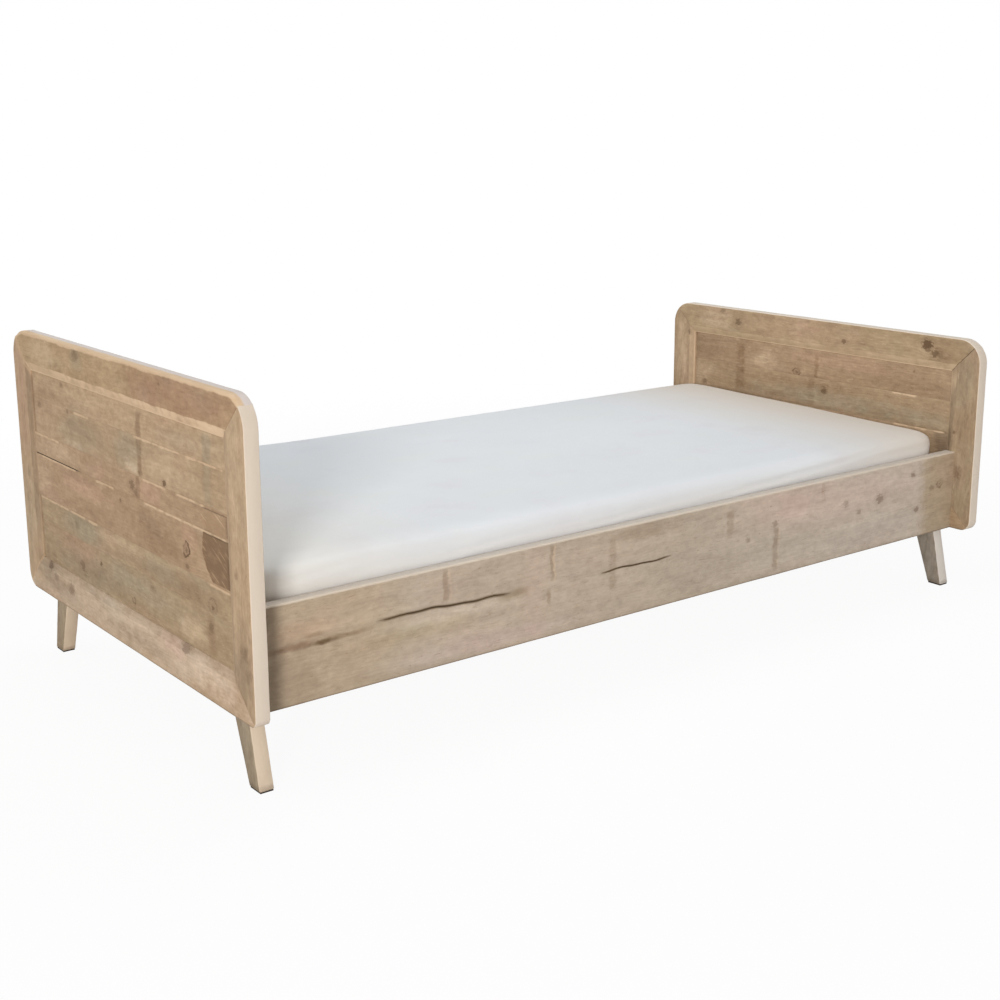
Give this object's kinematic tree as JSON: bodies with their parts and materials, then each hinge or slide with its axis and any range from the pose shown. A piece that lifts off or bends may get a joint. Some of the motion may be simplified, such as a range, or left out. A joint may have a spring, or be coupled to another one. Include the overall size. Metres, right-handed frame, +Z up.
{
  "type": "single bed",
  "caption": "Single bed in reclaimed wood: mitred, rounded end panels, side rails, splayed tapered legs, slatted base and a lift-out mattress.",
  "frame": {"origin": "the middle of the bed on the floor", "axes": "+X along the bed from the headboard to the footboard, +Y across the bed to its back side, +Z up"},
  "size_m": [2.08, 1.074, 0.745],
  "materials": {
    "frame_wood": "reclaimed softwood, brushed, clear matt",
    "panel_wood": "reclaimed softwood, brushed, clear matt",
    "rail_wood": "reclaimed softwood, greyed, clear matt",
    "leg_wood": "reclaimed softwood with fresh cut edges",
    "beech": "bare beech, smooth",
    "cleat_wood": "planed pine, bare",
    "slat_wood": "planed pine, bare",
    "tape": "woven cotton tape",
    "zinc": "zinc plated",
    "yellow_zinc": "yellow zinc plated",
    "pad": "dark felted plastic, matt",
    "sheet": "plain white fitted cotton sheet, matt"
  },
  "bodies": {
    "frame": {"head_top_rail": "frame_wood", "head_bottom_rail": "frame_wood", "head_stile_front": "frame_wood", "head_stile_back": "frame_wood", "head_board_1": "panel_wood", "head_board_2": "panel_wood", "head_board_3": "panel_wood", "head_board_4": "panel_wood", "head_board_5": "panel_wood", "head_board_6": "panel_wood", "head_mitre_splines": "beech", "foot_top_rail": "frame_wood", "foot_bottom_rail": "frame_wood", "foot_stile_front": "frame_wood", "foot_stile_back": "frame_wood", "foot_board_1": "panel_wood", "foot_board_2": "panel_wood", "foot_board_3": "panel_wood", "foot_board_4": "panel_wood", "foot_mitre_splines": "beech", "side_rail_front": "rail_wood", "side_rail_back": "rail_wood", "rail_dowels": "beech", "cleat_front": "cleat_wood", "cleat_back": "cleat_wood", "cleat_screws": "yellow_zinc", "leg_head_front": "leg_wood", "leg_head_back": "leg_wood", "leg_foot_front": "leg_wood", "leg_foot_back": "leg_wood", "pad_head_front": "pad", "pad_head_back": "pad", "pad_foot_front": "pad", "pad_foot_back": "pad", "panel_coach_screws": "zinc", "rail_coach_screws": "zinc", "coach_washers": "zinc"},
    "slat_base": {"slat_1": "slat_wood", "slat_2": "slat_wood", "slat_3": "slat_wood", "slat_4": "slat_wood", "slat_5": "slat_wood", "slat_6": "slat_wood", "slat_7": "slat_wood", "slat_8": "slat_wood", "slat_9": "slat_wood", "slat_10": "slat_wood", "slat_11": "slat_wood", "slat_12": "slat_wood", "slat_13": "slat_wood", "slat_14": "slat_wood", "slat_tape_front": "tape", "slat_tape_back": "tape"},
    "mattress": {"mattress": "sheet"}
  },
  "joints": [
    {"name": "slat_base_lift", "type": "slide", "parent": "frame", "child": "slat_base", "axis": [0, 0, 1], "range_m": [0, 0.5]},
    {"name": "mattress_lift", "type": "slide", "parent": "slat_base", "child": "mattress", "axis": [0, 0, 1], "range_m": [0, 0.5]}
  ]
}
